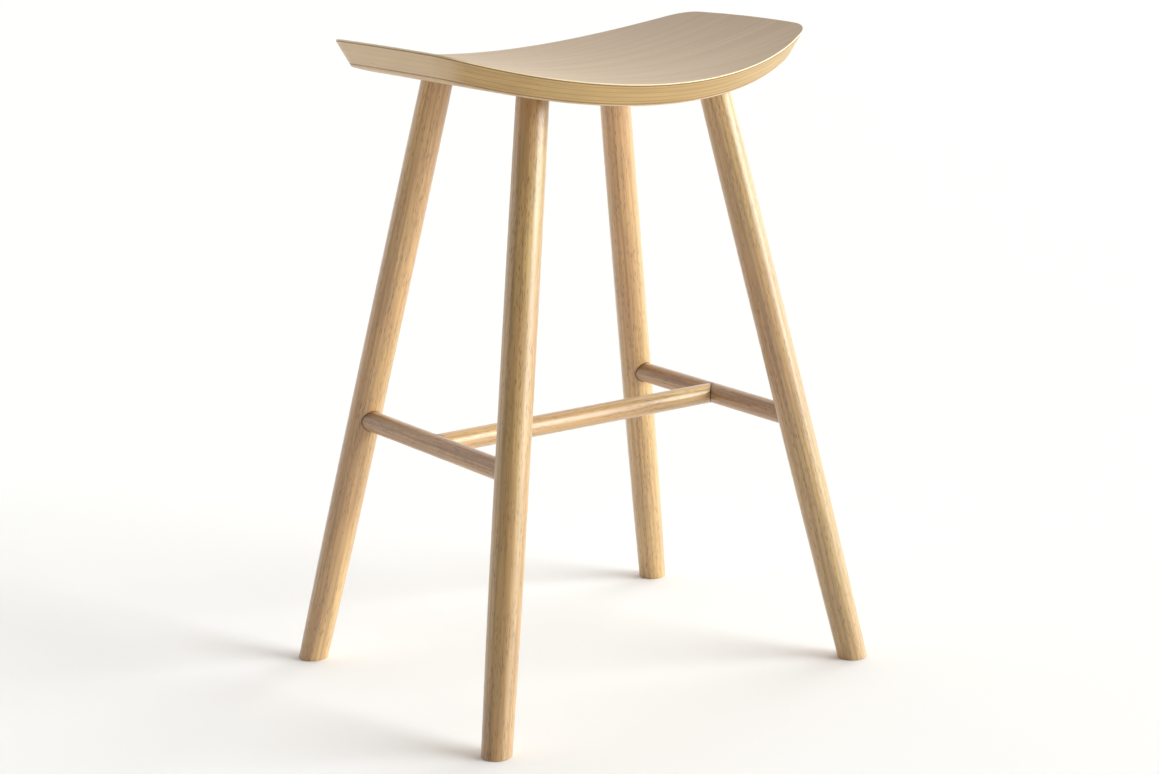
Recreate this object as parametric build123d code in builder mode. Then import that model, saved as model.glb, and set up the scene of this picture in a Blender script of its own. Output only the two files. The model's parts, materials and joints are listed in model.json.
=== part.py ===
from build123d import *
from math import sqrt
import os

# A backless wooden stool: a saddle seat of moulded laminated wood on four splayed, turned legs,
# joined by an H of three round rungs that serve as the footrest.
#
# Frame: millimetres, origin on the floor at the middle of the four feet, +Z up,
# X along the seat and Y across it. Front is -Y and left is -X.

# ---------------------------------------------------------------- seat

seat_height = 650.0  # floor to the lowest line of the sitting surface
seat_length = 466.0
seat_width = 360.0
seat_thickness = 23.0
hollow_radius = 730.0  # the sitting surface is part of a cylinder whose axis runs along Y

side_arc_radius = 384.0  # bulge of the two long sides, seen from above
end_arc_radius = 1200.0  # the two short ends are almost straight
corner_radius = 46.0

bevel_inset = 15.0  # how far the undercut edge runs in under the seat
rim_land = 1.2  # what the undercut leaves upright at the rim
rim_round = 0.4
underside_round = 0.8

face_veneer = 1.5  # top and bottom veneers
crossband = 1.2  # thin plies under the veneers

# ---------------------------------------------------------------- legs

foot_centres_x = 470.0  # between the leg axes on the floor
foot_centres_y = 365.0
head_centres_x = 221.0  # between the leg axes at seat height
head_centres_y = 172.0

foot_radius = 15.8
belly_radius = 17.5
neck_radius = 16.7
belly_below_rung = 30.0  # the thickest stretch is a plain cylinder round the rung joint
belly_above_rung = 120.0
foot_straight = 8.0  # so is the leg's lowest stretch
foot_round = 1.0

# ---------------------------------------------------------------- rungs

rung_height = 272.0  # floor to the axis of all three rungs
side_rung_radius = 11.1
centre_rung_radius = 11.0

# ---------------------------------------------------------------- joints between the pieces

glue_gap = 0.1  # radial room for glue round every tenon
end_gap = 1.0  # empty depth beyond the end of every tenon
tenon_chamfer = 1.0

leg_tenon_radius = 11.0
leg_tenon_length = 15.0
side_tenon_radius = 8.0
side_tenon_past_axis = 4.0  # how far a side rung's tenon runs past the leg's axis
centre_tenon_radius = 6.0
centre_tenon_past_axis = 4.0

trim = 10.0  # spare length on a blank, cut away again

# ---------------------------------------------------------------- places that follow from the sizes

form_axis_height = seat_height + hollow_radius
underside_radius = hollow_radius + seat_thickness
corners = {
    "front_left": (-1, -1),
    "front_right": (1, -1),
    "back_left": (-1, 1),
    "back_right": (1, 1),
}
sides = {"left": -1, "right": 1}


def leg_foot(side_x: int, side_y: int) -> Vector:
    """The point where a leg's axis meets the floor."""
    return Vector(side_x * foot_centres_x / 2, side_y * foot_centres_y / 2, 0)


def leg_head(side_x: int, side_y: int) -> Vector:
    """The point where a leg's axis reaches seat height."""
    return Vector(side_x * head_centres_x / 2, side_y * head_centres_y / 2, seat_height)


def leg_direction(side_x: int, side_y: int) -> Vector:
    """The way up along a leg's axis, of length 1."""
    return (leg_head(side_x, side_y) - leg_foot(side_x, side_y)).normalized()


def leg_at_height(side_x: int, side_y: int, height: float) -> Vector:
    """The point of a leg's axis at one height."""
    run = leg_head(side_x, side_y) - leg_foot(side_x, side_y)
    return leg_foot(side_x, side_y) + run * (height / seat_height)


def leg_length(side_x: int, side_y: int) -> float:
    """Along a leg's axis, from the floor to the underside of the seat."""
    foot = leg_foot(side_x, side_y)
    way = leg_direction(side_x, side_y)
    drop = foot.Z - form_axis_height
    a = way.X**2 + way.Z**2
    b = foot.X * way.X + drop * way.Z
    c = foot.X**2 + drop**2 - underside_radius**2
    return (-b - sqrt(b**2 - a * c)) / a


def leg_end_plane(side_x: int, side_y: int, distance: float) -> Plane:
    """A plane square to a leg's axis, at a distance up from its foot."""
    way = leg_direction(side_x, side_y)
    return Plane(origin=leg_foot(side_x, side_y) + way * distance, z_dir=way)


# The rungs cross the leg axes here.
rung_x = leg_at_height(1, 1, rung_height).X
rung_y = leg_at_height(1, 1, rung_height).Y


# ---------------------------------------------------------------- seat blank, bevelled all round

with BuildPart() as seat_blank:
    # A block with the seat's outline, tall enough to hold the whole curve.
    with BuildSketch(Plane.XY.offset(seat_height - seat_length / 2)) as seat_plan:
        with Locations((0, seat_width / 2 - side_arc_radius)):
            Circle(side_arc_radius)
        with Locations((0, side_arc_radius - seat_width / 2)):
            Circle(side_arc_radius, mode=Mode.INTERSECT)
        with Locations((seat_length / 2 - end_arc_radius, 0)):
            Circle(end_arc_radius, mode=Mode.INTERSECT)
        with Locations((end_arc_radius - seat_length / 2, 0)):
            Circle(end_arc_radius, mode=Mode.INTERSECT)
        fillet(seat_plan.vertices(), corner_radius)
    extrude(amount=seat_length)
    with BuildSketch(Plane.XZ):
        with Locations((0, form_axis_height)):
            Circle(underside_radius)
            Circle(hollow_radius, mode=Mode.SUBTRACT)
    extrude(amount=seat_width, both=True, mode=Mode.INTERSECT)

    underside = seat_blank.faces().sort_by(SortBy.AREA)[-2:].sort_by(Axis.Z)[0]
    chamfer(
        underside.edges(),
        length=bevel_inset,
        length2=seat_thickness - rim_land,
        reference=underside,
    )
    top_face = seat_blank.faces().sort_by(SortBy.AREA)[-1]
    fillet(top_face.edges(), rim_round)
    underside = seat_blank.faces().sort_by(SortBy.AREA)[-2:].sort_by(Axis.Z)[0]
    fillet(underside.edges(), underside_round)


# ---------------------------------------------------------------- seat layers

os.makedirs("parts", exist_ok=True)

# Each layer: its name, and the depths below the sitting surface where it starts and ends.
seat_layers = [
    ("seat_top_veneer", 0, face_veneer),
    ("seat_upper_crossband", face_veneer, face_veneer + crossband),
    ("seat_core", face_veneer + crossband, seat_thickness - face_veneer - crossband),
    ("seat_lower_crossband", seat_thickness - face_veneer - crossband, seat_thickness - face_veneer),
    ("seat_bottom_veneer", seat_thickness - face_veneer, seat_thickness),
]

for layer_name, layer_top, layer_bottom in seat_layers:
    with BuildPart() as layer:
        add(seat_blank.part)
        with BuildSketch(Plane.XZ):
            with Locations((0, form_axis_height)):
                Circle(hollow_radius + layer_bottom)
                Circle(hollow_radius + layer_top, mode=Mode.SUBTRACT)
        extrude(amount=seat_width, both=True, mode=Mode.INTERSECT)

        # Blind bores for the leg tenons, drilled along the leg axes from below.
        for corner in corners.values():
            with BuildSketch(leg_end_plane(*corner, leg_length(*corner) - trim)):
                Circle(leg_tenon_radius + glue_gap)
            extrude(amount=trim + leg_tenon_length + end_gap, mode=Mode.SUBTRACT)

    layer.part.label = layer_name
    export_step(layer.part, f"parts/{layer_name}.step")


# ---------------------------------------------------------------- legs as turned, without bores

turned_legs = {}
for corner_name, corner in corners.items():
    way = leg_direction(*corner)
    across = way.cross(Vector(0, 0, 1)).normalized()
    length = leg_length(*corner)
    rung_distance = rung_height / way.Z
    belly_start = (belly_radius, rung_distance - belly_below_rung)
    belly_end = (belly_radius, rung_distance + belly_above_rung)
    with BuildPart() as turned_leg:
        # The outline lies in a plane through the leg's axis: x is the radius, y runs up the leg.
        with BuildSketch(Plane(leg_foot(*corner), x_dir=across, z_dir=across.cross(way))):
            with BuildLine():
                Line(belly_start, belly_end)
                lower = TangentArc(belly_start, (foot_radius, foot_straight), tangent=(0, -1))
                upper = TangentArc(belly_end, (neck_radius, length + trim), tangent=(0, 1))
                Polyline(lower @ 1, (foot_radius, -trim), (0, -trim), (0, length + trim), upper @ 1)
            make_face()
        revolve(axis=Axis(leg_foot(*corner), way))

        # The foot is cut level with the floor, the head to the curve of the seat's underside.
        split(bisect_by=Plane.XY, keep=Keep.TOP)
        with BuildSketch(Plane.XZ):
            with Locations((0, form_axis_height)):
                Circle(underside_radius)
        extrude(amount=seat_width, both=True, mode=Mode.SUBTRACT)
        fillet(turned_leg.faces().sort_by(Axis.Z)[0].edges(), foot_round)
    turned_legs[corner_name] = turned_leg.part


# ---------------------------------------------------------------- legs

for corner_name, corner in corners.items():
    side_x, side_y = corner
    with BuildPart() as leg:
        add(turned_legs[corner_name])

        # Tenon on the head.
        with BuildSketch(leg_end_plane(*corner, leg_length(*corner) - trim)):
            Circle(leg_tenon_radius)
        extrude(amount=trim + leg_tenon_length)
        chamfer(leg.edges().filter_by(GeomType.CIRCLE).sort_by(Axis.Z)[-1], tenon_chamfer)

        # Blind bore for the side rung, drilled level from the inner side.
        bore_end = rung_y + side_tenon_past_axis + end_gap
        bore_start = rung_y - 2 * belly_radius
        with BuildSketch(Plane((side_x * rung_x, side_y * bore_start, rung_height), z_dir=(0, side_y, 0))):
            Circle(side_tenon_radius + glue_gap)
        extrude(amount=bore_end - bore_start, mode=Mode.SUBTRACT)

    leg.part.label = f"leg_{corner_name}"
    export_step(leg.part, f"parts/leg_{corner_name}.step")


# ---------------------------------------------------------------- side rungs

for side_name, side in sides.items():
    with BuildPart() as side_rung:
        middle = Plane((side * rung_x, 0, rung_height), z_dir=(0, 1, 0))
        with BuildSketch(middle):
            Circle(side_rung_radius)
        extrude(amount=rung_y, both=True)

        # The shoulders are coped to the round of the two legs.
        for corner_name in (f"front_{side_name}", f"back_{side_name}"):
            add(turned_legs[corner_name], mode=Mode.SUBTRACT)
        with BuildSketch(middle):
            Circle(side_tenon_radius)
        extrude(amount=rung_y + side_tenon_past_axis, both=True)
        tenon_ends = side_rung.edges().filter_by(GeomType.CIRCLE).sort_by(Axis.Y)
        chamfer([tenon_ends[0], tenon_ends[-1]], tenon_chamfer)

        # Blind bore for the centre rung, drilled from the inner side.
        with BuildSketch(Plane((side * (rung_x - 2 * side_rung_radius), 0, rung_height), z_dir=(side, 0, 0))):
            Circle(centre_tenon_radius + glue_gap)
        extrude(amount=2 * side_rung_radius + centre_tenon_past_axis + end_gap, mode=Mode.SUBTRACT)

    side_rung.part.label = f"side_stretcher_{side_name}"
    export_step(side_rung.part, f"parts/side_stretcher_{side_name}.step")


# ---------------------------------------------------------------- centre rung

with BuildPart() as centre_rung:
    with BuildSketch(Plane((0, 0, rung_height), z_dir=(1, 0, 0))):
        Circle(centre_rung_radius)
    extrude(amount=rung_x, both=True)

    # The shoulders are coped to the round of the two side rungs.
    for side in sides.values():
        with BuildSketch(Plane((side * rung_x, 0, rung_height), z_dir=(0, 1, 0))):
            Circle(side_rung_radius)
        extrude(amount=2 * side_rung_radius, both=True, mode=Mode.SUBTRACT)
    with BuildSketch(Plane((0, 0, rung_height), z_dir=(1, 0, 0))):
        Circle(centre_tenon_radius)
    extrude(amount=rung_x + centre_tenon_past_axis, both=True)
    tenon_ends = centre_rung.edges().filter_by(GeomType.CIRCLE).sort_by(Axis.X)
    chamfer([tenon_ends[0], tenon_ends[-1]], tenon_chamfer)

centre_rung.part.label = "centre_stretcher"
export_step(centre_rung.part, "parts/centre_stretcher.step")
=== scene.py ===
"""Dresses the bar stool: a saddle seat of moulded laminated wood on turned legs with an H of rungs.

Everything is in metres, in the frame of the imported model: origin on the floor between the feet,
+X along the seat, +Y across it towards the back, +Z up.
"""

import json
import logging
import math
from dataclasses import dataclass, field, replace
from enum import Enum
from typing import ClassVar

import bpy
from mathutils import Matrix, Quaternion, Vector


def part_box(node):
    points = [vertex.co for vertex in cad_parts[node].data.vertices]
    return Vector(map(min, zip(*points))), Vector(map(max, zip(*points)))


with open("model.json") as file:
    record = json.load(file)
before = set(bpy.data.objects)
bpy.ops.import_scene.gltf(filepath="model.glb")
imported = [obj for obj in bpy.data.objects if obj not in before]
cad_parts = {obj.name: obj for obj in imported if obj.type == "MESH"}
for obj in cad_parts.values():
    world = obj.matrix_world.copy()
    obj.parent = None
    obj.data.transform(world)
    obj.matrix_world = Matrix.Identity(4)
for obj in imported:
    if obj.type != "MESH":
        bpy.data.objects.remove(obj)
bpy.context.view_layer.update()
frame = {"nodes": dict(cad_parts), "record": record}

log = logging.getLogger("bar_stool")

MM = 0.001

# Nearly all the values of a noise lie between these.
NOISE_LOW, NOISE_HIGH = 0.3, 0.7

Colour = tuple[float, float, float, float]
Socket = bpy.types.NodeSocket


def linear(hex_colour: str) -> Colour:
    """Turn an sRGB hex colour into the linear colour that shaders work in.

    Args:
        hex_colour: Six hex digits after a hash, such as "#C9AB7A".

    Returns:
        Red, green, blue and an alpha of 1.
    """
    digits = hex_colour.lstrip("#")
    shares = [int(digits[i : i + 2], 16) / 255 for i in (0, 2, 4)]
    red, green, blue = (s / 12.92 if s <= 0.04045 else ((s + 0.055) / 1.055) ** 2.4 for s in shares)
    return red, green, blue, 1.0


def add_node(
    tree: bpy.types.NodeTree,
    kind: str,
    settings: dict[str, object] | None = None,
    inputs: dict[str | int, object] | None = None,
) -> bpy.types.Node:
    """Add one node, set its properties, and fill or link its inputs.

    Args:
        tree: The node tree that gets the node.
        kind: The node's type without its "ShaderNode" prefix.
        settings: Properties of the node, by name.
        inputs: Values, or output sockets to link from, by the input's name or number.

    Returns:
        The new node.
    """
    node = tree.nodes.new("ShaderNode" + kind)
    for name, value in (settings or {}).items():
        setattr(node, name, value)
    for key, value in (inputs or {}).items():
        if isinstance(value, Socket):
            tree.links.new(value, node.inputs[key])
        else:
            node.inputs[key].default_value = value
    return node


# Numbers of the sockets of a colour Mix node, whose names repeat.
MIX_SHARE, MIX_A, MIX_B, MIX_OUT = 0, 6, 7, 2


@dataclass(frozen=True)
class JointLine:
    """The fine dark line where one round piece closes against another: partly the dark of the seam where
    they are glued, partly a painted contact shadow.

    Attributes:
        origin: A point on the axis of the piece that closes the joint.
        way: The direction of that axis.
        radius: How far from the axis the line runs.
        towards: Only this side of the origin has the joint, or None for both sides.
        width: Over what distance the line fades out.
    """

    origin: Vector
    way: Vector
    radius: float
    towards: Vector | None = None
    width: float = 1.5 * MM

    def mask(self, tree: bpy.types.NodeTree, place: Socket) -> Socket:
        """Build the line's mask.

        Args:
            tree: The material's node tree.
            place: The surface point in the frame of the model.

        Returns:
            A socket that is 1 on the joint and 0 away from it.
        """
        arm = add_node(
            tree, "VectorMath", {"operation": "SUBTRACT"}, {0: place, 1: self.origin}
        ).outputs[0]
        turned = add_node(
            tree, "VectorMath", {"operation": "CROSS_PRODUCT"}, {0: arm, 1: self.way.normalized()}
        ).outputs[0]
        reach = add_node(tree, "VectorMath", {"operation": "LENGTH"}, {0: turned}).outputs["Value"]
        fade = add_node(
            tree,
            "MapRange",
            {"interpolation_type": "SMOOTHSTEP"},
            {0: reach, 1: self.radius, 2: self.radius + self.width, 3: 1.0, 4: 0.0},
        ).outputs[0]
        if self.towards is None:
            return fade
        side = add_node(
            tree, "VectorMath", {"operation": "DOT_PRODUCT"}, {0: arm, 1: self.towards}
        ).outputs["Value"]
        near = add_node(tree, "Math", {"operation": "GREATER_THAN"}, {0: side, 1: 0.0}).outputs[0]
        return add_node(tree, "Math", {"operation": "MULTIPLY"}, {0: fade, 1: near}).outputs[0]


@dataclass(frozen=True)
class Wood:
    """A lacquered timber drawn as a solid pattern, so that it turns to end grain where it is cut across.

    The grain runs along the third of its coordinates. Its sizes are those of the real timber, in
    millimetres. Pores are really about 0.2 mm wide, and are drawn some 3 times as wide so that they
    show at the distance the stool is seen from.

    Attributes:
        name: The timber and how it was worked, which starts the material's name.
        early: Colour of the pale wood that grows early in a year.
        late: Colour of the darker wood that grows late in a year.
        blush: Colour of the slow pinker patches.
        pore: Colour of the pores.
        glue_and_contact_shade: Colour of the line at a joint: the dark of the glued seam, and a painted
            contact shadow.
        ring_mm: Width of a year ring.
        ring_share: How strongly late wood shows.
        ring_wander_mm: How far the rings stray from round.
        pith_mm: From the piece's axis to the pith of its log.
        blotch_mm: Width of a blush patch.
        blotch_share: How strongly the patches show.
        stripe_mm: Width of the broader stripes along the grain.
        stripe_depth: How much the stripes lighten and darken the wood.
        fibre_mm: Width of the fine fibres.
        fibre_depth: How much the fibres lighten and darken the wood.
        pore_gap_mm: Between pores, across the grain.
        pore_length_mm: Between pores, along the grain, which is also how long the longest are.
        pore_width_mm: Width of a pore.
        pore_amount: How many of the pores there is room for are there.
        pore_share: How dark a pore is.
        end_grain_and_sheen_tone: Colour where the fibres are cut across: the end grain's own colour, and
            on the seat's core a pale tone that paints the sheen on the seat's bevelled ends.
        end_grain_and_sheen_share: How strongly that colour shows where the fibres are cut across.
        relief_mm: Depth of a pore.
        roughness: Of the wood itself.
        lacquer: How much of the surface the lacquer covers.
        lacquer_roughness: Of the lacquer.
        stretch: How much longer than wide the fibres and stripes are.
        tone: How light this billet is beside the others.
    """

    # Shares of a year's growth, and how late the wood is at each.
    YEAR: ClassVar[tuple[tuple[float, float], ...]] = (
        (0.0, 0.55),
        (0.18, 0.0),
        (0.55, 0.15),
        (0.9, 1.0),
        (1.0, 0.6),
    )
    RING_PATCH: ClassVar[float] = 6.0  # rings stray together over this many ring widths
    PATCH_STRETCH: ClassVar[float] = 9.0  # how much longer than wide such a stretch is

    CROWD_MM: ClassVar[float] = 9.0  # width of a place where pores crowd together
    CROWD_LOW: ClassVar[float] = 0.35
    CROWD_HIGH: ClassVar[float] = 0.65
    SPARSE: ClassVar[float] = 0.2  # share of the pores that are there where they are fewest
    DENSE: ClassVar[float] = 1.4  # the same where they are most, times pore_amount
    LATE_THINNING: ClassVar[float] = 0.35  # share of the pores that late wood lacks

    BLOTCH_LOW: ClassVar[float] = 0.4
    BLOTCH_HIGH: ClassVar[float] = 0.65
    BLOTCH_STRETCH: ClassVar[float] = 5.0

    # Cosine between the surface's normal and the fibres where end grain starts, and where it is full.
    END_STARTS: ClassVar[float] = 0.55
    END_FULL: ClassVar[float] = 0.82

    SMOOTHER: ClassVar[float] = 0.05  # how much smoother than the rest the smoothest fibres are
    ROUGHER: ClassVar[float] = 0.06
    WOOD_IOR: ClassVar[float] = 1.5
    LACQUER_IOR: ClassVar[float] = 1.55

    name: str
    early: str = "#BB9A66"
    late: str = "#9A7548"
    blush: str = "#AC8059"
    pore: str = "#472D19"
    # The joint line's colour: the dark of the glued seam, and a painted contact shadow.
    glue_and_contact_shade: str = "#523014"
    ring_mm: float = 5.0
    ring_share: float = 0.7
    ring_wander_mm: float = 7.0
    pith_mm: float = 46.0
    blotch_mm: float = 45.0
    blotch_share: float = 0.5
    stripe_mm: float = 3.2
    stripe_depth: float = 0.17
    fibre_mm: float = 0.9
    fibre_depth: float = 0.12
    pore_gap_mm: float = 1.2
    pore_length_mm: float = 12.0
    pore_width_mm: float = 0.62
    pore_amount: float = 1.0
    pore_share: float = 0.6
    end_grain_and_sheen_tone: str = "#8A6A46"
    end_grain_and_sheen_share: float = 0.6
    relief_mm: float = 0.12
    roughness: float = 0.42
    lacquer: float = 1.0
    lacquer_roughness: float = 0.3
    stretch: float = 30.0
    tone: float = 1.0

    def paint(self, hex_colour: str) -> Colour:
        """Turn one of the timber's colours into the linear colour of this billet."""
        red, green, blue, alpha = linear(hex_colour)
        return red * self.tone, green * self.tone, blue * self.tone, alpha

    def scaled(self, tree: bpy.types.NodeTree, grain: Socket, width_mm: float, stretch: float) -> Socket:
        """Scale grain coordinates so that one unit is a figure's width across and its length along.

        Args:
            tree: The material's node tree.
            grain: Coordinates across, across and along the grain, in metres.
            width_mm: The figure's width across the grain.
            stretch: How many times longer than wide the figure is.

        Returns:
            The scaled coordinates.
        """
        across = 1 / (width_mm * MM)
        return add_node(
            tree,
            "VectorMath",
            {"operation": "MULTIPLY"},
            {0: grain, 1: (across, across, across / stretch)},
        ).outputs[0]

    def rings(self, tree: bpy.types.NodeTree, grain: Socket, turn: float) -> Socket:
        """Draw the year rings round a pith that lies outside the piece, as in a plank sawn from a log.

        Args:
            tree: The material's node tree.
            grain: Coordinates across, across and along the grain.
            turn: Which way the pith lies, in radians.

        Returns:
            0 in early wood, rising to 1 in late wood.
        """
        wander = add_node(
            tree,
            "TexNoise",
            inputs={
                "Vector": self.scaled(
                    tree, grain, self.RING_PATCH * self.ring_mm, self.PATCH_STRETCH
                ),
                "Scale": 1.0,
                "Detail": 2.0,
            },
        ).outputs[0]
        pith = Vector((math.cos(turn), math.sin(turn), 0)) * self.pith_mm * MM
        section = add_node(
            tree,
            "VectorMath",
            {"operation": "MULTIPLY_ADD"},
            {0: grain, 1: (1.0, 1.0, 0.0), 2: pith},
        ).outputs[0]
        reach = add_node(tree, "VectorMath", {"operation": "LENGTH"}, {0: section}).outputs["Value"]
        years = add_node(
            tree,
            "Math",
            {"operation": "MULTIPLY_ADD"},
            {0: wander, 1: self.ring_wander_mm * MM, 2: reach},
        ).outputs[0]
        count = add_node(
            tree, "Math", {"operation": "DIVIDE"}, {0: years, 1: self.ring_mm * MM}
        ).outputs[0]
        share = add_node(tree, "Math", {"operation": "FRACT"}, {0: count}).outputs[0]
        ramp = add_node(tree, "ValToRGB", inputs={0: share})
        ramp.color_ramp.interpolation = "B_SPLINE"
        steps = ramp.color_ramp.elements
        first, *middle, last = self.YEAR
        for step, (position, level) in zip(steps, (first, last)):
            step.position, step.color = position, (level, level, level, 1.0)
        for position, level in middle:
            steps.new(position).color = (level, level, level, 1.0)
        return ramp.outputs[0]

    def pores(self, tree: bpy.types.NodeTree, grain: Socket, ring: Socket) -> Socket:
        """Scatter the short dark pores, most of them in early wood.

        Args:
            tree: The material's node tree.
            grain: Coordinates across, across and along the grain.
            ring: 0 in early wood, 1 in late wood.

        Returns:
            1 in a pore and 0 between pores.
        """
        cells = add_node(
            tree,
            "TexVoronoi",
            inputs={
                "Vector": self.scaled(
                    tree, grain, self.pore_gap_mm, self.pore_length_mm / self.pore_gap_mm
                ),
                "Scale": 1.0,
            },
        )
        half_width = self.pore_width_mm / 2 / self.pore_gap_mm
        dash = add_node(
            tree,
            "MapRange",
            {"interpolation_type": "SMOOTHSTEP"},
            {0: cells.outputs["Distance"], 1: half_width * 0.5, 2: half_width * 1.5, 3: 1.0, 4: 0.0},
        ).outputs[0]
        lot = add_node(tree, "SeparateColor", inputs={0: cells.outputs["Color"]}).outputs[0]
        crowd = add_node(
            tree,
            "TexNoise",
            inputs={
                "Vector": self.scaled(tree, grain, self.CROWD_MM, self.PATCH_STRETCH),
                "Scale": 1.0,
                "Detail": 1.0,
            },
        ).outputs[0]
        # Where pores crowd together the share of cells that hold one rises, and late wood holds fewer.
        wanted = add_node(
            tree,
            "MapRange",
            inputs={
                0: crowd,
                1: self.CROWD_LOW,
                2: self.CROWD_HIGH,
                3: self.SPARSE,
                4: self.pore_amount * self.DENSE,
            },
        ).outputs[0]
        thinned = add_node(
            tree, "Math", {"operation": "MULTIPLY_ADD"}, {0: ring, 1: -self.LATE_THINNING, 2: wanted}
        ).outputs[0]
        held = add_node(tree, "Math", {"operation": "LESS_THAN"}, {0: lot, 1: thinned}).outputs[0]
        return add_node(tree, "Math", {"operation": "MULTIPLY"}, {0: dash, 1: held}).outputs[0]

    def material(
        self,
        piece: str,
        lie: "GrainCoordinates",
        joints: tuple[JointLine, ...] = (),
        plies: "PlyLines | None" = None,
    ) -> bpy.types.Material:
        """Make this timber's material for one piece.

        Args:
            piece: The name of the piece, which ends the material's name.
            lie: How the piece's grain lies.
            joints: The joint lines on the piece.
            plies: The lines where its plies are glued, or None if it is solid or a single ply.

        Returns:
            The finished material.
        """
        made = bpy.data.materials.new(f"{self.name}_{piece}")
        made.use_nodes = True
        tree = made.node_tree
        tree.nodes.clear()
        here = add_node(tree, "TexCoord")
        place, normal = here.outputs["Object"], here.outputs["Normal"]
        grain = lie.sockets(tree, place)

        ring = self.rings(tree, grain, lie.turn)
        pore = self.pores(tree, grain, ring)
        blotch = add_node(
            tree,
            "TexNoise",
            inputs={
                "Vector": self.scaled(tree, grain, self.blotch_mm, self.BLOTCH_STRETCH),
                "Scale": 1.0,
                "Detail": 2.0,
            },
        ).outputs[0]
        stripe, fibre = (
            add_node(
                tree,
                "TexNoise",
                inputs={
                    "Vector": self.scaled(tree, grain, width, self.stretch),
                    "Scale": 1.0,
                    "Detail": 3.0,
                },
            ).outputs[0]
            for width in (self.stripe_mm, self.fibre_mm)
        )

        ring_share = add_node(
            tree, "Math", {"operation": "MULTIPLY"}, {0: ring, 1: self.ring_share}
        ).outputs[0]
        colour = add_node(
            tree,
            "Mix",
            {"data_type": "RGBA"},
            {MIX_SHARE: ring_share, MIX_A: self.paint(self.early), MIX_B: self.paint(self.late)},
        ).outputs[MIX_OUT]
        blush_share = add_node(
            tree,
            "MapRange",
            inputs={0: blotch, 1: self.BLOTCH_LOW, 2: self.BLOTCH_HIGH, 3: 0.0, 4: self.blotch_share},
        ).outputs[0]
        colour = add_node(
            tree,
            "Mix",
            {"data_type": "RGBA"},
            {MIX_SHARE: blush_share, MIX_A: colour, MIX_B: self.paint(self.blush)},
        ).outputs[MIX_OUT]
        for figure, depth in ((stripe, self.stripe_depth), (fibre, self.fibre_depth)):
            shade = add_node(
                tree,
                "MapRange",
                inputs={0: figure, 1: NOISE_LOW, 2: NOISE_HIGH, 3: 1 - depth, 4: 1 + depth},
            ).outputs[0]
            colour = add_node(
                tree, "VectorMath", {"operation": "SCALE"}, {0: colour, "Scale": shade}
            ).outputs[0]
        if plies is not None:
            colour = plies.colour(tree, place, colour)

        # Where the fibres are cut across, the colour turns to the end tone: the end grain's own colour,
        # and on the seat's core a painted sheen.
        across = add_node(
            tree,
            "VectorMath",
            {"operation": "DOT_PRODUCT"},
            {0: normal, 1: lie.way.normalized()},
        ).outputs["Value"]
        cut = add_node(tree, "Math", {"operation": "ABSOLUTE"}, {0: across}).outputs[0]
        end_grain_and_sheen_share = add_node(
            tree,
            "MapRange",
            {"interpolation_type": "SMOOTHSTEP"},
            {0: cut, 1: self.END_STARTS, 2: self.END_FULL, 3: 0.0, 4: self.end_grain_and_sheen_share},
        ).outputs[0]
        colour = add_node(
            tree,
            "Mix",
            {"data_type": "RGBA"},
            {MIX_SHARE: end_grain_and_sheen_share, MIX_A: colour, MIX_B: self.paint(self.end_grain_and_sheen_tone)},
        ).outputs[MIX_OUT]

        pore_share = add_node(
            tree, "Math", {"operation": "MULTIPLY"}, {0: pore, 1: self.pore_share}
        ).outputs[0]
        colour = add_node(
            tree,
            "Mix",
            {"data_type": "RGBA"},
            {MIX_SHARE: pore_share, MIX_A: colour, MIX_B: self.paint(self.pore)},
        ).outputs[MIX_OUT]
        # Painted contact shadow: a dark line wherever another piece closes against this one, over the dark
        # of the glued seam.
        for joint in joints:
            colour = add_node(
                tree,
                "Mix",
                {"data_type": "RGBA"},
                {MIX_SHARE: joint.mask(tree, place), MIX_A: colour, MIX_B: self.paint(self.glue_and_contact_shade)},
            ).outputs[MIX_OUT]

        grit = add_node(tree, "Math", {"operation": "MULTIPLY"}, {0: fibre, 1: 0.5}).outputs[0]
        height = add_node(tree, "Math", {"operation": "SUBTRACT"}, {0: grit, 1: pore}).outputs[0]
        bump = add_node(
            tree, "Bump", inputs={"Strength": 0.5, "Distance": self.relief_mm * MM, "Height": height}
        ).outputs[0]
        rough = add_node(
            tree,
            "MapRange",
            inputs={
                0: fibre,
                1: NOISE_LOW,
                2: NOISE_HIGH,
                3: self.roughness - self.SMOOTHER,
                4: self.roughness + self.ROUGHER,
            },
        ).outputs[0]
        shader = add_node(
            tree,
            "BsdfPrincipled",
            inputs={
                "Base Color": colour,
                "Roughness": rough,
                "Normal": bump,
                "IOR": self.WOOD_IOR,
                "Coat Weight": self.lacquer,
                "Coat Roughness": self.lacquer_roughness,
                "Coat IOR": self.LACQUER_IOR,
            },
        )
        add_node(tree, "OutputMaterial", inputs={"Surface": shader.outputs[0]})
        return made


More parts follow.
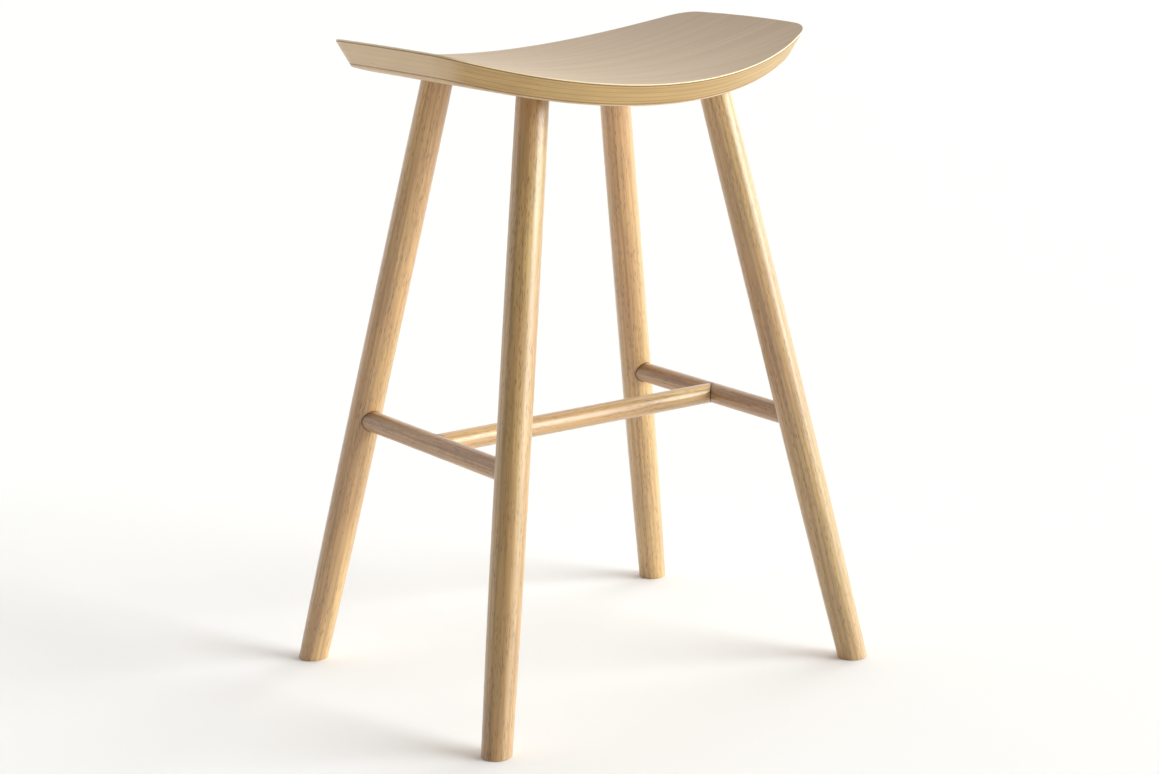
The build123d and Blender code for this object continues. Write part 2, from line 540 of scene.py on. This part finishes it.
@dataclass(frozen=True)
class GrainCoordinates:
    """How the grain lies in a straight piece: along its axis.

    Attributes:
        origin: A point on the axis.
        way: The direction of the grain.
        seed: Pieces with different seeds come from different lengths of timber.
    """

    origin: Vector
    way: Vector
    seed: int

    SPAN: ClassVar[float] = 3.1  # metres of timber between the pieces of two seeds
    GOLDEN_TURN: ClassVar[float] = 2.4  # radians, so that no two piths lie on the same side

    @property
    def turn(self) -> float:
        """Which way the pith lies, in radians."""
        return self.seed * self.GOLDEN_TURN

    def sockets(self, tree: bpy.types.NodeTree, place: Socket) -> Socket:
        """Turn the model's coordinates to the grain's.

        Args:
            tree: The material's node tree.
            place: The surface point in the frame of the model.

        Returns:
            Coordinates across, across and along the grain.
        """
        way = self.way.normalized()
        return add_node(
            tree,
            "Mapping",
            {"vector_type": "TEXTURE"},
            {
                "Vector": place,
                "Location": self.origin - way * self.SPAN * self.seed,
                "Rotation": way.to_track_quat("Z", "Y").to_euler(),
            },
        ).outputs[0]


class Lay(Enum):
    """Which way the fibres of a seat layer run."""

    ALONG = "along the seat"
    ACROSS = "across the seat"


@dataclass(frozen=True)
class MouldedCoordinates(GrainCoordinates):
    """How the grain lies in a layer that was pressed round a cylinder: it bends with the layer.

    Attributes:
        form_axis_height: Height of the axis that the layer is bent round.
        hollow_radius: From that axis to the sitting surface.
        lay: Which way its fibres run.
        sheet_share: How much of the figure shows across a sheet. A stack of thin plies changes from
            ply to ply more than across one ply, so its streaks follow the seat's edge.
    """

    form_axis_height: float = 0.0
    hollow_radius: float = 0.0
    lay: Lay = Lay.ALONG
    sheet_share: float = 1.0

    def sockets(self, tree: bpy.types.NodeTree, place: Socket) -> Socket:
        """Roll the layer flat.

        Args:
            tree: The material's node tree.
            place: The surface point in the frame of the model.

        Returns:
            Coordinates across the grain, down into the layer and along the grain.
        """
        parts = add_node(tree, "SeparateXYZ", inputs={0: place}).outputs
        drop = add_node(
            tree, "Math", {"operation": "SUBTRACT"}, {0: self.form_axis_height, 1: parts[2]}
        ).outputs[0]
        swing = add_node(tree, "Math", {"operation": "ARCTAN2"}, {0: parts[0], 1: drop}).outputs[0]
        arc = add_node(
            tree, "Math", {"operation": "MULTIPLY"}, {0: swing, 1: self.hollow_radius}
        ).outputs[0]
        depth = depth_in_seat(tree, place, self.form_axis_height, self.hollow_radius)
        across, along = (parts[1], arc) if self.lay is Lay.ALONG else (arc, parts[1])
        spread = add_node(
            tree, "Math", {"operation": "MULTIPLY"}, {0: across, 1: self.sheet_share}
        ).outputs[0]
        shifted = add_node(
            tree, "Math", {"operation": "ADD"}, {0: along, 1: self.SPAN * self.seed}
        ).outputs[0]
        return add_node(tree, "CombineXYZ", inputs={0: spread, 1: depth, 2: shifted}).outputs[0]


def depth_in_seat(
    tree: bpy.types.NodeTree, place: Socket, form_axis_height: float, hollow_radius: float
) -> Socket:
    """Measure how deep a point lies below the sitting surface.

    Args:
        tree: The material's node tree.
        place: The surface point in the frame of the model.
        form_axis_height: Height of the axis that the seat is bent round.
        hollow_radius: From that axis to the sitting surface.

    Returns:
        The depth in metres.
    """
    arm = add_node(
        tree,
        "VectorMath",
        {"operation": "SUBTRACT"},
        {0: place, 1: (0.0, 0.0, form_axis_height)},
    ).outputs[0]
    section = add_node(
        tree, "VectorMath", {"operation": "MULTIPLY"}, {0: arm, 1: (1.0, 0.0, 1.0)}
    ).outputs[0]
    reach = add_node(tree, "VectorMath", {"operation": "LENGTH"}, {0: section}).outputs["Value"]
    return add_node(tree, "Math", {"operation": "SUBTRACT"}, {0: reach, 1: hollow_radius}).outputs[0]


@dataclass(frozen=True)
class PlyLines:
    """Fine lines that follow the layers round the seat's edge, with a change of tone at each.

    Attributes:
        form_axis_height: Height of the axis that the seat is bent round.
        hollow_radius: From that axis to the sitting surface.
        depths: How far below the sitting surface each line lies.
        width: How wide a line is drawn. A real glued seam is 0.1 mm, too fine to show.
        line: The colour of the line.
        strength: How much of the wood the line covers.
        tone_step: How much darker or lighter the wood gets from one layer to the next.
    """

    form_axis_height: float
    hollow_radius: float
    depths: tuple[float, ...]
    width: float = 0.4 * MM
    line: str = "#9A7248"
    strength: float = 0.6
    tone_step: float = 0.05

    def colour(self, tree: bpy.types.NodeTree, place: Socket, colour: Socket) -> Socket:
        """Draw the lines over the wood.

        Args:
            tree: The material's node tree.
            place: The surface point in the frame of the model.
            colour: The wood's colour.

        Returns:
            The colour with its ply lines.
        """
        depth = depth_in_seat(tree, place, self.form_axis_height, self.hollow_radius)
        for number, at in enumerate(self.depths):
            off = add_node(tree, "Math", {"operation": "SUBTRACT"}, {0: depth, 1: at}).outputs[0]
            gap = add_node(tree, "Math", {"operation": "ABSOLUTE"}, {0: off}).outputs[0]
            line = add_node(
                tree,
                "MapRange",
                {"interpolation_type": "SMOOTHSTEP"},
                {0: gap, 1: self.width / 2, 2: self.width * 1.5, 3: self.strength, 4: 0.0},
            ).outputs[0]
            # Each ply is cut from another flitch, so the tone steps a little at every line.
            below = add_node(tree, "Math", {"operation": "GREATER_THAN"}, {0: off, 1: 0.0}).outputs[0]
            tone = 1 + self.tone_step if number % 2 else 1 - self.tone_step
            step = add_node(tree, "MapRange", inputs={0: below, 3: 1.0, 4: tone}).outputs[0]
            colour = add_node(
                tree, "VectorMath", {"operation": "SCALE"}, {0: colour, "Scale": step}
            ).outputs[0]
            colour = add_node(
                tree,
                "Mix",
                {"data_type": "RGBA"},
                {MIX_SHARE: line, MIX_A: colour, MIX_B: linear(self.line)},
            ).outputs[MIX_OUT]
        return colour


# Light hardwood, turned and sanded, under satin lacquer: warm tan with slow bands of darker late wood
# and short dark pores, and a soft narrow highlight down the side that faces the light.
TURNED_HARDWOOD = Wood(name="turned_hardwood")

# The same timber from nearer the heart of the log, as the side rungs are: pinker, with stronger bands.
PINK_HARDWOOD = replace(
    TURNED_HARDWOOD,
    name="turned_heart_hardwood",
    early="#B89268",
    late="#8F6A46",
    blush="#A27957",
    blotch_share=0.7,
    ring_mm=3.6,
    ring_share=0.85,
    stripe_mm=2.4,
    stripe_depth=0.24,
    lacquer=0.6,
    tone=1.06,
)

# Sliced ash veneer, bleached and sanded flat under satin lacquer: pale, greyed and quiet, with long
# faint grain lines and almost no pores.
BLEACHED_VENEER = Wood(
    name="bleached_ash_veneer",
    early="#C3AA8A",
    late="#B09574",
    blush="#BBA081",
    pore="#7C6040",
    ring_mm=17.0,
    ring_share=0.45,
    ring_wander_mm=38.0,
    pith_mm=260.0,
    blotch_mm=60.0,
    stripe_mm=5.0,
    stripe_depth=0.075,
    fibre_mm=1.2,
    fibre_depth=0.045,
    pore_gap_mm=3.4,
    pore_length_mm=22.0,
    pore_width_mm=0.8,
    pore_amount=0.45,
    pore_share=0.4,
    end_grain_and_sheen_tone="#CDBB98",
    end_grain_and_sheen_share=0.4,
    relief_mm=0.06,
    roughness=0.56,
    lacquer=0.2,
    lacquer_roughness=0.42,
    stretch=40.0,
)

# The same sliced ash left unbleached on the underside, where the edge catches the light: warm cream.
BACKING_VENEER = replace(
    BLEACHED_VENEER,
    name="natural_ash_veneer",
    early="#CBB08A",
    late="#B89A72",
    blush="#C2A380",
    end_grain_and_sheen_tone="#D3BB98",
)

# Thin cross ply of rotary-cut hardwood, showing its end grain at the edge: a fine brown line.
CROSS_PLY = Wood(
    name="rotary_cut_cross_ply",
    early="#9A784C",
    late="#87663C",
    blush="#906E44",
    pore="#4E331E",
    end_grain_and_sheen_tone="#7B5B35",
    roughness=0.5,
    lacquer=0.25,
)

# A paler sheet of the same ply, which the core's light edge nearly hides.
PALE_CROSS_PLY = replace(
    CROSS_PLY,
    name="pale_rotary_cut_cross_ply",
    early="#A07C53",
    late="#8D6B43",
    blush="#96734B",
    pore="#5A3C24",
    end_grain_and_sheen_tone="#86653F",
)

# Pressed core of long-grain plies, sanded to a bevel and lacquered: warm straw-tan with fine streaks
# that follow the edge, broken by the lines where its plies are glued. Its pale cream end tone is a
# painted sheen on the seat's bevelled ends, where they catch the light from the white floor.
PRESSED_CORE = Wood(
    name="pressed_laminated_core",
    early="#BC9B62",
    late="#A6854C",
    blush="#B08A5A",
    pore="#6B4527",
    ring_mm=6.5,
    ring_share=0.4,
    ring_wander_mm=10.0,
    pith_mm=120.0,
    blotch_mm=50.0,
    stripe_mm=2.2,
    stripe_depth=0.09,
    fibre_mm=0.9,
    fibre_depth=0.05,
    pore_gap_mm=3.6,
    pore_length_mm=22.0,
    pore_width_mm=0.8,
    pore_amount=0.35,
    pore_share=0.6,
    # Painted sheen: paler than the core's end grain, to light up the seat's bevelled ends.
    end_grain_and_sheen_tone="#DAC19E",
    end_grain_and_sheen_share=0.55,
    roughness=0.46,
    lacquer=0.3,
    stretch=40.0,
)


def dress(node: str, material: bpy.types.Material) -> None:
    """Give a carried-over node its one material.

    Args:
        node: The node's name.
        material: Its new material.
    """
    slots = frame["nodes"][node].data.materials
    slots.clear()
    slots.append(material)
    log.info("%s is dressed in %s", node, material.name)


@dataclass
class LegFrame:
    """Four turned legs and the H of rungs between them.

    Attributes:
        seat_height: Floor to the lowest line of the sitting surface.
        head_spread_x: Between the leg axes at seat height, along the seat.
        head_spread_y: The same across the seat.
        belly_radius: Radius of a leg where its rung enters.
        neck_radius: Radius of a leg under the seat.
        finish: The timber of the legs and the centre rung.
        side_finish: The timber of the side rungs.
        corners: Which side of the middle each leg stands on, along X and along Y.
        tones: How light each leg's billet is.
        centre_tone: How light the centre rung's billet is.
    """

    LEG_SEED: ClassVar[int] = 1
    SIDE_RUNG_SEED: ClassVar[int] = 11
    CENTRE_RUNG_SEED: ClassVar[int] = 21

    seat_height: float
    head_spread_x: float = 221 * MM
    head_spread_y: float = 172 * MM
    belly_radius: float = 17.5 * MM
    neck_radius: float = 16.7 * MM
    finish: Wood = TURNED_HARDWOOD
    side_finish: Wood = PINK_HARDWOOD
    corners: dict[str, tuple[int, int]] = field(
        default_factory=lambda: {
            "front_left": (-1, -1),
            "front_right": (1, -1),
            "back_left": (-1, 1),
            "back_right": (1, 1),
        }
    )
    tones: dict[str, float] = field(
        default_factory=lambda: {
            "front_left": 1.0,
            "front_right": 1.02,
            "back_left": 1.16,
            "back_right": 1.22,
        }
    )
    centre_tone: float = 1.18

    def foot(self, corner: str) -> Vector:
        """The middle of a leg's foot, which the record gives as a mount."""
        mounts = {mount["name"]: mount for mount in frame["record"]["mounts"]}
        return Vector(mounts[f"foot_{corner}_face"]["pos_m"])

    def way_up(self, corner: str) -> Vector:
        """The direction of a leg's axis."""
        side_x, side_y = self.corners[corner]
        head = Vector((side_x * self.head_spread_x / 2, side_y * self.head_spread_y / 2, self.seat_height))
        return (head - self.foot(corner)).normalized()

    def rung_axis(self, node: str) -> Vector:
        """The middle of a rung's axis."""
        low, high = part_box(node)
        return (low + high) / 2

    def rung_radius(self, node: str) -> float:
        """Half of how high a rung is."""
        low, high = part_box(node)
        return (high.z - low.z) / 2

    def dress_legs(self, underside: JointLine) -> None:
        """Give each leg its timber, with a line at its rung and one at the seat.

        Args:
            underside: The line where the leg heads close against the seat.
        """
        for seed, (corner, (_, side_y)) in enumerate(self.corners.items()):
            side_rung = f"side_stretcher_{corner.split('_')[1]}"
            inwards = Vector((0, -side_y, 0))
            way = self.way_up(corner)
            entry = self.foot(corner) + way * (self.rung_axis(side_rung).z / way.z)
            rung_line = JointLine(entry, inwards, self.rung_radius(side_rung), towards=inwards)
            grain = GrainCoordinates(self.foot(corner), way, seed + self.LEG_SEED)
            billet = replace(self.finish, tone=self.tones[corner])
            dress(f"leg_{corner}", billet.material(f"leg_{corner}", grain, (rung_line, underside)))

    def dress_side_rungs(self) -> None:
        """Give each side rung its timber, with a line at both legs and one at the centre rung."""
        centre_radius = self.rung_radius("centre_stretcher")
        for seed, (side, way_out) in enumerate({"left": -1, "right": 1}.items()):
            node = f"side_stretcher_{side}"
            lines = [
                JointLine(self.foot(corner), self.way_up(corner), self.belly_radius)
                for corner in (f"front_{side}", f"back_{side}")
            ]
            inwards = Vector((-way_out, 0, 0))
            lines.append(JointLine(self.rung_axis(node), inwards, centre_radius, towards=inwards))
            grain = GrainCoordinates(
                self.rung_axis(node), Vector((0, 1, 0)), seed + self.SIDE_RUNG_SEED
            )
            dress(node, self.side_finish.material(node, grain, tuple(lines)))

    def dress_centre_rung(self) -> None:
        """Give the centre rung its timber, with a line at both side rungs."""
        node = "centre_stretcher"
        lines = tuple(
            JointLine(self.rung_axis(rung), Vector((0, 1, 0)), self.rung_radius(rung))
            for rung in ("side_stretcher_left", "side_stretcher_right")
        )
        grain = GrainCoordinates(self.rung_axis(node), Vector((1, 0, 0)), self.CENTRE_RUNG_SEED)
        billet = replace(self.finish, tone=self.centre_tone)
        dress(node, billet.material(node, grain, lines))


@dataclass
class Seat:
    """The moulded saddle seat: two face veneers and two cross plies round a pressed core.

    Attributes:
        height: Floor to the lowest line of the sitting surface.
        hollow_radius: Of the cylinder that the sitting surface is part of.
        thickness: Of the whole pressed stack.
        outer_plies: Depths below a face where the core's glue lines lie.
        rim_depth: Depth below the sitting surface of the middle of its sanded rim.
        rim_tone_and_highlight: Colour of the pale line along that rim: the sanded veneer edge's own paler
            tone, and a painted highlight where the rounded top edge catches the light.
        core_sheet_share: How much of the core's figure shows across a ply.
    """

    FACE_VENEER: ClassVar[float] = 1.5 * MM
    FACE_SEEDS: ClassVar[tuple[int, int]] = (31, 32)
    CROSS_PLY_SEED: ClassVar[int] = 41
    CORE_SEED: ClassVar[int] = 51

    height: float
    hollow_radius: float = 730 * MM
    thickness: float = 23 * MM
    outer_plies: tuple[float, ...] = (4.8 * MM, 9.2 * MM)
    rim_depth: float = 0.9 * MM
    # Pale cream: the rim's own tone with a painted highlight.
    rim_tone_and_highlight: str = "#EEDBB2"
    core_sheet_share: float = 0.12

    @classmethod
    def packed(cls) -> "Seat":
        """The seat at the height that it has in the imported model."""
        return cls(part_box("seat_top_veneer")[0].z + cls.FACE_VENEER)

    @property
    def form_axis_height(self) -> float:
        """Height of the axis that the seat is bent round."""
        return self.height + self.hollow_radius

    def underside(self) -> JointLine:
        """The line that the seat's underside draws round every leg head."""
        return JointLine(
            Vector((0, 0, self.form_axis_height)),
            Vector((0, 1, 0)),
            self.hollow_radius + self.thickness,
        )

    def grain(self, seed: int, lay: Lay) -> MouldedCoordinates:
        """How the grain of one layer lies.

        Args:
            seed: Which sheet the layer was cut from.
            lay: Whether its fibres run along the seat or across it.

        Returns:
            The layer's grain coordinates.
        """
        way = Vector((1, 0, 0)) if lay is Lay.ALONG else Vector((0, 1, 0))
        return MouldedCoordinates(
            Vector(), way, seed, self.form_axis_height, self.hollow_radius, lay
        )

    def dress_faces(self, heads: tuple[JointLine, ...]) -> None:
        """Give the sitting surface and the underside their veneers.

        Args:
            heads: The lines round the leg heads, which show on the underside.
        """
        top, bottom = "seat_top_veneer", "seat_bottom_veneer"
        top_seed, bottom_seed = self.FACE_SEEDS
        # Painted highlight: a pale cream line along the top veneer's sanded rim, for the light its rounded
        # edge catches, over the edge's own paler tone.
        rim = PlyLines(
            self.form_axis_height,
            self.hollow_radius,
            (self.rim_depth,),
            width=self.rim_depth * 0.6,
            line=self.rim_tone_and_highlight,
            strength=0.8,
        )
        dress(top, BLEACHED_VENEER.material(top, self.grain(top_seed, Lay.ALONG), plies=rim))
        dress(bottom, BACKING_VENEER.material(bottom, self.grain(bottom_seed, Lay.ALONG), heads))

    def dress_cross_plies(self) -> None:
        """Give the two thin plies under the veneers their cross grain."""
        sheets = {"seat_upper_crossband": CROSS_PLY, "seat_lower_crossband": PALE_CROSS_PLY}
        for seed, (node, sheet) in enumerate(sheets.items()):
            grain = self.grain(seed + self.CROSS_PLY_SEED, Lay.ACROSS)
            dress(node, sheet.material(node, grain))

    def dress_core(self) -> None:
        """Give the core its long grain and the lines where its plies are glued."""
        depths = self.outer_plies + tuple(self.thickness - d for d in reversed(self.outer_plies))
        plies = PlyLines(self.form_axis_height, self.hollow_radius, depths)
        grain = replace(self.grain(self.CORE_SEED, Lay.ALONG), sheet_share=self.core_sheet_share)
        dress("seat_core", PRESSED_CORE.material("seat_core", grain, plies=plies))


def direction(azimuth: float, elevation: float) -> Vector:
    """Find the direction from the stool to something that stands round it.

    Args:
        azimuth: Degrees round the stool from the front, towards its right.
        elevation: Degrees above the horizon.

    Returns:
        The direction, of length 1.
    """
    turn, rise = math.radians(azimuth), math.radians(elevation)
    return Vector((math.sin(turn) * math.cos(rise), -math.cos(turn) * math.cos(rise), math.sin(rise)))


@dataclass(frozen=True)
class SeamlessPaper:
    """Matt seamless backdrop paper: white, with a fine tooth that keeps any shine off it.

    Attributes:
        colour: Its colour.
        roughness: Its roughness.
        tooth_mm: Between the grains of its surface.
        relief_mm: How deep they are.
    """

    colour: str = "#FBF9F7"
    roughness: float = 0.9
    tooth_mm: float = 1.11
    relief_mm: float = 0.1

    def material(self) -> bpy.types.Material:
        """Make the paper's material."""
        made = bpy.data.materials.new("matt_seamless_paper")
        made.use_nodes = True
        tree = made.node_tree
        tree.nodes.clear()
        place = add_node(tree, "TexCoord").outputs["Object"]
        tooth = add_node(
            tree, "TexNoise", inputs={"Vector": place, "Scale": 1 / (self.tooth_mm * MM)}
        ).outputs[0]
        bump = add_node(
            tree,
            "Bump",
            inputs={"Strength": 0.1, "Distance": self.relief_mm * MM, "Height": tooth},
        ).outputs[0]
        shader = add_node(
            tree,
            "BsdfPrincipled",
            inputs={
                "Base Color": linear(self.colour),
                "Roughness": self.roughness,
                "Normal": bump,
            },
        )
        add_node(tree, "OutputMaterial", inputs={"Surface": shader.outputs[0]})
        return made


@dataclass(frozen=True)
class Window:
    """One large soft window.

    Attributes:
        name: Its name.
        azimuth: Degrees round the stool from the front, towards its right.
        elevation: Degrees above the horizon.
        strength: How much light it gives.
        width: Degrees across that it looks from the stool, which sets how soft its shadows are.
    """

    name: str
    azimuth: float
    elevation: float
    strength: float
    width: float


@dataclass
class Studio:
    """A pale paper floor, two large soft windows on the right and a white backdrop in a dim room.

    Attributes:
        floor_size: Side of the floor.
        floor_finish: What the floor is made of.
        windows: The windows.
        window_colour: The colour of their daylight.
        gloss_share: How much of a window's light shows mirrored in the lacquer. The rest is held
            back, as by a polarising filter, so that the seat keeps its grain against the light.
        backdrop_azimuth: Where the middle of the white backdrop stands.
        room_dark: The room's brightness on the side away from the backdrop.
        room_light: The backdrop's brightness.
        paper_light: How bright the paper looks where it sweeps up behind the stool.
        wall: The colour of the light that comes back from the room's warm walls.
        paper: The colour of the white backdrop's light.
    """

    # Cosine from the backdrop's middle where the room is darkest, where its light has lost the
    # walls' colour, and where it is brightest.
    DARKEST: ClassVar[float] = -0.5
    WHITE: ClassVar[float] = 0.3
    BRIGHTEST: ClassVar[float] = 0.8

    floor_size: float = 60.0
    floor_finish: SeamlessPaper = SeamlessPaper()
    windows: tuple[Window, ...] = (
        Window("front_window", azimuth=42.0, elevation=14.5, strength=5.5, width=45.0),
        Window("side_window", azimuth=98.0, elevation=14.0, strength=1.7, width=50.0),
    )
    window_colour: str = "#F3FCFF"
    gloss_share: float = 0.55
    backdrop_azimuth: float = 160.0
    room_dark: float = 0.13
    room_light: float = 1.08
    paper_light: float = 1.0
    wall: str = "#FFDFC2"
    paper: str = "#FEFDFC"

    def build_floor(self) -> None:
        """Lay the floor."""
        half = self.floor_size / 2
        mesh = bpy.data.meshes.new("paper_floor")
        mesh.from_pydata(
            [(-half, -half, 0), (half, -half, 0), (half, half, 0), (-half, half, 0)], [], [(0, 1, 2, 3)]
        )
        floor = bpy.data.objects.new("paper_floor", mesh)
        bpy.context.scene.collection.objects.link(floor)
        mesh.materials.append(self.floor_finish.material())
        log.info("floor laid")

    def hang(self, window: Window, part: str, share: float) -> bpy.types.Object:
        """Hang one of the two lights that a window is made of.

        Args:
            window: The window.
            part: What the light is for, which ends its name.
            share: How much of the window's light it gives.

        Returns:
            The light's object.
        """
        light = bpy.data.lights.new(f"{window.name}_{part}", "SUN")
        light.energy = window.strength * share
        light.angle = math.radians(window.width)
        light.color = linear(self.window_colour)[:3]
        lamp = bpy.data.objects.new(light.name, light)
        lamp.rotation_mode = "QUATERNION"
        way = direction(window.azimuth, window.elevation)
        lamp.rotation_quaternion = way.to_track_quat("Z", "Y")
        bpy.context.scene.collection.objects.link(lamp)
        return lamp

    def build_windows(self) -> None:
        """Hang the windows, each as a light that shines and one that only shows in the lacquer."""
        for window in self.windows:
            self.hang(window, "light", 1.0).visible_glossy = False
            self.hang(window, "gloss", self.gloss_share).visible_diffuse = False
            log.info("%s hung", window.name)

    def build_room(self) -> None:
        """Light the room: bright at the backdrop, dim on the side that faces it."""
        world = bpy.data.worlds.new("studio_room")
        world.use_nodes = True
        bpy.context.scene.world = world
        tree = world.node_tree
        tree.nodes.clear()
        look = add_node(tree, "TexCoord").outputs["Generated"]
        side = add_node(
            tree,
            "VectorMath",
            {"operation": "DOT_PRODUCT"},
            {0: look, 1: direction(self.backdrop_azimuth, 0.0)},
        ).outputs["Value"]
        strength = add_node(
            tree,
            "MapRange",
            {"interpolation_type": "SMOOTHSTEP"},
            {0: side, 1: self.DARKEST, 2: self.BRIGHTEST, 3: self.room_dark, 4: self.room_light},
        ).outputs[0]
        white = add_node(
            tree, "MapRange", inputs={0: side, 1: self.DARKEST, 2: self.WHITE, 3: 0.0, 4: 1.0}
        ).outputs[0]
        colour = add_node(
            tree,
            "Mix",
            {"data_type": "RGBA"},
            {MIX_SHARE: white, MIX_A: linear(self.wall), MIX_B: linear(self.paper)},
        ).outputs[MIX_OUT]
        light = add_node(tree, "Background", inputs={"Color": colour, "Strength": strength}).outputs[0]
        sweep = add_node(
            tree, "Background", inputs={"Color": linear(self.paper), "Strength": self.paper_light}
        ).outputs[0]
        seen = add_node(tree, "LightPath").outputs["Is Camera Ray"]
        both = add_node(tree, "MixShader", inputs={0: seen, 1: light, 2: sweep}).outputs[0]
        add_node(tree, "OutputWorld", inputs={"Surface": both})
        log.info("room lit")


@dataclass
class Viewpoint:
    """The camera: a long lens, a little above the seat, seeing the front and the left end.

    Attributes:
        stand: Where the camera stands.
        azimuth: Degrees round the stool from the front, negative to its left.
        elevation: Degrees that it looks down.
        roll: Degrees that it leans.
        lens_mm: Focal length.
        sensor_mm: Width of the sensor.
        shift_x: How far the view is shifted sideways, in widths of the sensor.
    """

    stand: Vector = field(default_factory=lambda: Vector((-1.5088, -2.1325, 0.9462)))
    azimuth: float = -36.963
    elevation: float = 13.786
    roll: float = -0.397
    lens_mm: float = 77.63
    sensor_mm: float = 36.0
    shift_x: float = -0.0604

    def build(self) -> None:
        """Set the camera up."""
        lens = bpy.data.cameras.new("camera")
        lens.sensor_width = self.sensor_mm
        lens.lens = self.lens_mm
        lens.shift_x = self.shift_x
        back = direction(self.azimuth, self.elevation)
        camera = bpy.data.objects.new("camera", lens)
        camera.rotation_mode = "QUATERNION"
        lean = Quaternion((0, 0, 1), math.radians(self.roll))
        camera.rotation_quaternion = (-back).to_track_quat("-Z", "Y") @ lean
        camera.location = self.stand
        bpy.context.scene.collection.objects.link(camera)
        bpy.context.scene.camera = camera
        log.info("camera stands at %s", tuple(round(v, 3) for v in self.stand))


def main() -> None:
    """Build the camera and the studio, then dress the leg frame and the seat."""
    logging.basicConfig(level=logging.INFO, format="%(name)s: %(message)s")
    bpy.context.scene.view_settings.view_transform = "Standard"
    Viewpoint().build()
    studio = Studio()
    studio.build_floor()
    studio.build_windows()
    studio.build_room()

    seat = Seat.packed()
    legs = LegFrame(seat.height)
    legs.dress_legs(seat.underside())
    legs.dress_side_rungs()
    legs.dress_centre_rung()
    heads = tuple(
        JointLine(legs.foot(corner), legs.way_up(corner), legs.neck_radius) for corner in legs.corners
    )
    seat.dress_faces(heads)
    seat.dress_cross_plies()
    seat.dress_core()


if __name__ == "__main__":
    main()
